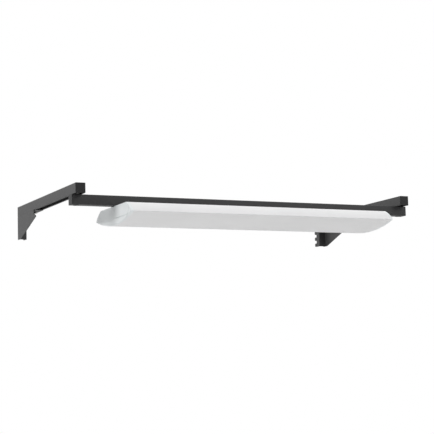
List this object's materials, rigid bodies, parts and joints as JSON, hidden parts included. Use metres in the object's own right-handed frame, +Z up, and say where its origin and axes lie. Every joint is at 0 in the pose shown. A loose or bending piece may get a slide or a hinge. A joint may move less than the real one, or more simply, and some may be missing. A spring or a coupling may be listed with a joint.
{
  "type": "overhead arm light",
  "caption": "Wide flat LED luminaire under a square cross bar on slotted cantilever arms with folded hook-on brackets; the bar slides along the arms and the opal diffuser hinges down.",
  "frame": {"origin": "on the front plane of the uprights, midway between the two brackets, at half the height over arms and brackets", "axes": "+X along the cross bar to the right as seen from the front, +Y backwards into the uprights, +Z up"},
  "size_m": [1.3344, 0.779, 0.1353],
  "materials": {
    "anthracite_coat": "satin anthracite powder coat with a fine grain",
    "black_plastic": "fine-textured moulded black plastic",
    "zinc_steel": "bright zinc plate",
    "white_coat": "white satin coat",
    "opal_plastic": "opal, satin, slightly translucent",
    "white_plastic": "moulded white plastic, satin",
    "led_board": "white solder mask with rows of small LEDs",
    "driver_case": "moulded pale grey case",
    "grey_plastic": "moulded grey polyamide"
  },
  "bodies": {
    "frame": {"left_arm": "anthracite_coat", "left_arm_plug": "black_plastic", "left_bracket": "anthracite_coat", "left_bracket_bolt_front": "zinc_steel", "left_bracket_bolt_rear": "zinc_steel", "left_bracket_nut_strip": "zinc_steel", "left_hook_plate": "anthracite_coat", "right_arm": "anthracite_coat", "right_arm_plug": "black_plastic", "right_bracket": "anthracite_coat", "right_bracket_bolt_front": "zinc_steel", "right_bracket_bolt_rear": "zinc_steel", "right_bracket_nut_strip": "zinc_steel", "right_hook_plate": "anthracite_coat"},
    "crossbar": {"cable_gland": "grey_plastic", "cross_bar": "anthracite_coat", "driver_screw_1": "zinc_steel", "driver_screw_2": "zinc_steel", "gear_screw_1": "zinc_steel", "gear_screw_2": "zinc_steel", "gear_screw_3": "zinc_steel", "gear_screw_4": "zinc_steel", "gear_tray": "white_coat", "gland_nut": "grey_plastic", "led_board_1": "led_board", "led_board_2": "led_board", "led_board_3": "led_board", "led_board_4": "led_board", "led_driver": "driver_case", "left_access_plug": "black_plastic", "left_bar_plug": "black_plastic", "left_clamp_bolt": "zinc_steel", "left_clamp_nut": "zinc_steel", "left_clamp_washer": "zinc_steel", "left_end_cap": "white_plastic", "left_fixing_screw": "zinc_steel", "left_fixing_washer": "zinc_steel", "left_rivet_nut": "zinc_steel", "luminaire_tray": "white_coat", "right_access_plug": "black_plastic", "right_bar_plug": "black_plastic", "right_clamp_bolt": "zinc_steel", "right_clamp_nut": "zinc_steel", "right_clamp_washer": "zinc_steel", "right_end_cap": "white_plastic", "right_fixing_screw": "zinc_steel", "right_fixing_washer": "zinc_steel", "right_rivet_nut": "zinc_steel", "terminal_block": "grey_plastic"},
    "diffuser": {"diffuser": "opal_plastic"}
  },
  "joints": [
    {"name": "bar_depth_slide", "type": "slide", "parent": "frame", "child": "crossbar", "axis": [0, 1, 0], "range_m": [-0.015, 0.35]},
    {"name": "diffuser_hinge", "type": "hinge", "parent": "crossbar", "child": "diffuser", "pos_m": [0, -0.4365, -0.0475], "axis": [1, 0, 0], "range_deg": [0, 85]}
  ]
}
